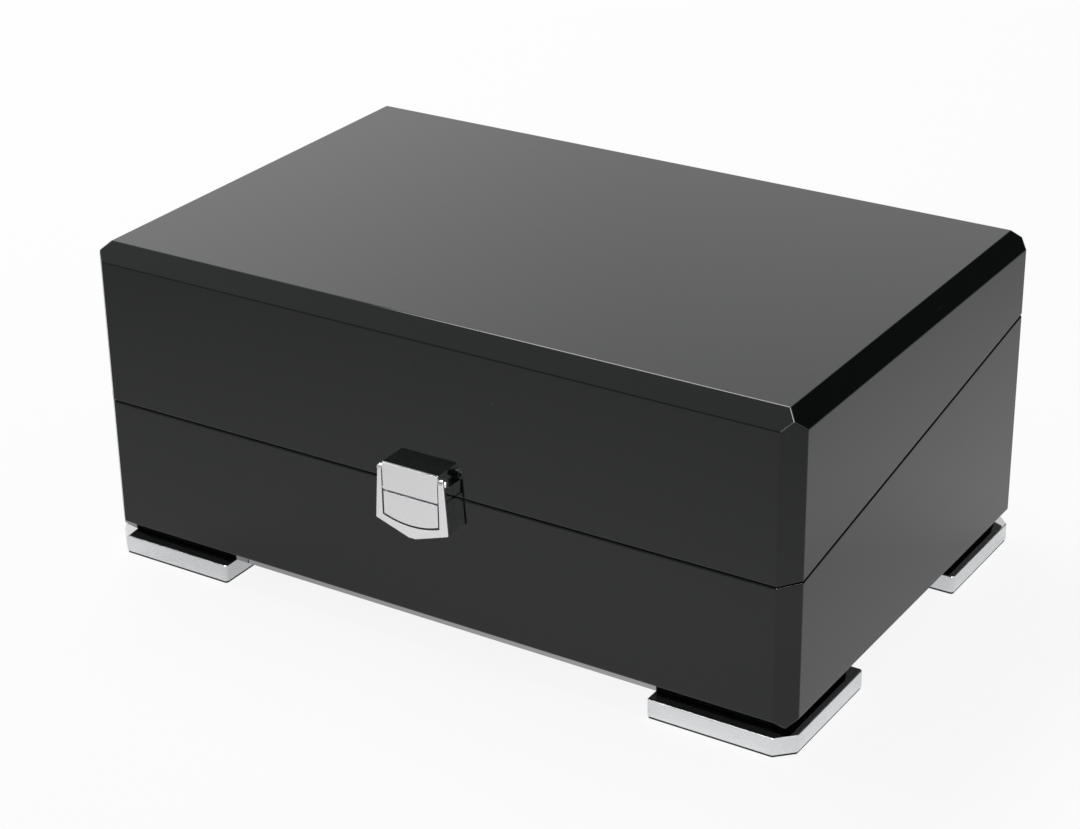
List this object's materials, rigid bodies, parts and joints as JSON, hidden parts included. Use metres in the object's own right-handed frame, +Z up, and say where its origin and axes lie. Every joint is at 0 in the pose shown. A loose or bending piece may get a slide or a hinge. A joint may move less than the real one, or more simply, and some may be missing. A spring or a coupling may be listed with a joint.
{
  "type": "humidor",
  "caption": "Desktop humidor: bevelled lacquered box with a slanted lid seam, shield-shaped clasp, corner feet, cedar lining, lift-out tray, humidifier and hygrometer.",
  "frame": {"origin": "under the middle of the whole object, on the surface its feet stand on", "axes": "+X to the humidor's right as seen from its front, +Y to its back, +Z up"},
  "size_m": [0.33, 0.2252, 0.1437],
  "materials": {
    "lacquer": "high-gloss black lacquer over fibreboard",
    "cedar": "bare planed cedar",
    "plated_metal": "polished plating",
    "satin_plate": "fine satin",
    "hinge_metal": "bright nickel plating",
    "screw_steel": "zinc plated",
    "magnet_plating": "nickel plated",
    "pad_rubber": "matt",
    "steel_sheet": "plain sheet",
    "black_plastic": "fine moulded texture",
    "foam": "open-cell foam",
    "bezel_metal": "polished",
    "dial_face": "matt print",
    "clear_glass": "clear",
    "needle_paint": "matt black"
  },
  "bodies": {
    "base": {"base_carcass": "lacquer", "base_lining_front": "cedar", "base_lining_back": "cedar", "base_lining_left": "cedar", "base_lining_right": "cedar", "base_floor_lining": "cedar", "foot_front_left": "plated_metal", "foot_front_right": "plated_metal", "foot_back_left": "plated_metal", "foot_back_right": "plated_metal", "foot_pads": "pad_rubber", "foot_screws": "screw_steel", "tray_ledge_left": "cedar", "tray_ledge_right": "cedar", "hinge_leaf_base_left": "hinge_metal", "hinge_leaf_base_right": "hinge_metal", "hinge_pin_left": "hinge_metal", "hinge_pin_right": "hinge_metal", "hinge_screws_base": "screw_steel", "clasp_keeper": "plated_metal", "clasp_magnet": "magnet_plating", "clasp_keeper_screws": "screw_steel"},
    "lid": {"lid_carcass": "lacquer", "lid_lining_front": "cedar", "lid_lining_back": "cedar", "lid_lining_left": "cedar", "lid_lining_right": "cedar", "lid_ceiling_lining": "cedar", "hinge_leaf_lid_left": "hinge_metal", "hinge_leaf_lid_right": "hinge_metal", "hinge_screws_lid": "screw_steel", "clasp_block": "plated_metal", "clasp_block_screws": "screw_steel", "clasp_upper_plate": "satin_plate", "clasp_pin": "plated_metal", "humidifier_plates": "steel_sheet", "hygrometer_case": "black_plastic", "hygrometer_dial": "dial_face", "hygrometer_glass": "clear_glass", "hygrometer_bezel": "bezel_metal", "hygrometer_spindle": "bezel_metal"},
    "clasp": {"clasp_frame": "plated_metal", "clasp_lower_plate": "satin_plate"},
    "tray": {"tray_front": "cedar", "tray_back": "cedar", "tray_left": "cedar", "tray_right": "cedar", "tray_floor": "cedar"},
    "divider_left": {"tray_divider_left": "cedar"},
    "divider_right": {"tray_divider_right": "cedar"},
    "humidifier": {"humidifier_case": "black_plastic", "humidifier_grille": "black_plastic", "humidifier_foam": "foam", "humidifier_magnets": "magnet_plating"},
    "needle": {"hygrometer_needle": "needle_paint"}
  },
  "joints": [
    {"name": "lid_hinge", "type": "hinge", "parent": "base", "child": "lid", "pos_m": [0, 0.10988, 0.1088], "axis": [-1, 0, 0], "range_deg": [0, 95]},
    {"name": "clasp_swing", "type": "hinge", "parent": "lid", "child": "clasp", "pos_m": [0, -0.11052, 0.081], "axis": [-1, 0, 0], "range_deg": [0, 75]},
    {"name": "tray_lift", "type": "slide", "parent": "base", "child": "tray", "axis": [0, 0, 1], "range_m": [0, 0.026]},
    {"name": "divider_left_lift", "type": "slide", "parent": "tray", "child": "divider_left", "axis": [0, 0, 1], "range_m": [0, 0.025]},
    {"name": "divider_right_lift", "type": "slide", "parent": "tray", "child": "divider_right", "axis": [0, 0, 1], "range_m": [0, 0.025]},
    {"name": "humidifier_pull", "type": "slide", "parent": "lid", "child": "humidifier", "axis": [0, 0, -1], "range_m": [0, 0.012]},
    {"name": "needle_turn", "type": "hinge", "parent": "lid", "child": "needle", "pos_m": [0, -0.04412, 0.1309], "axis": [0, 0, 1], "range_deg": [-120, 120]}
  ]
}
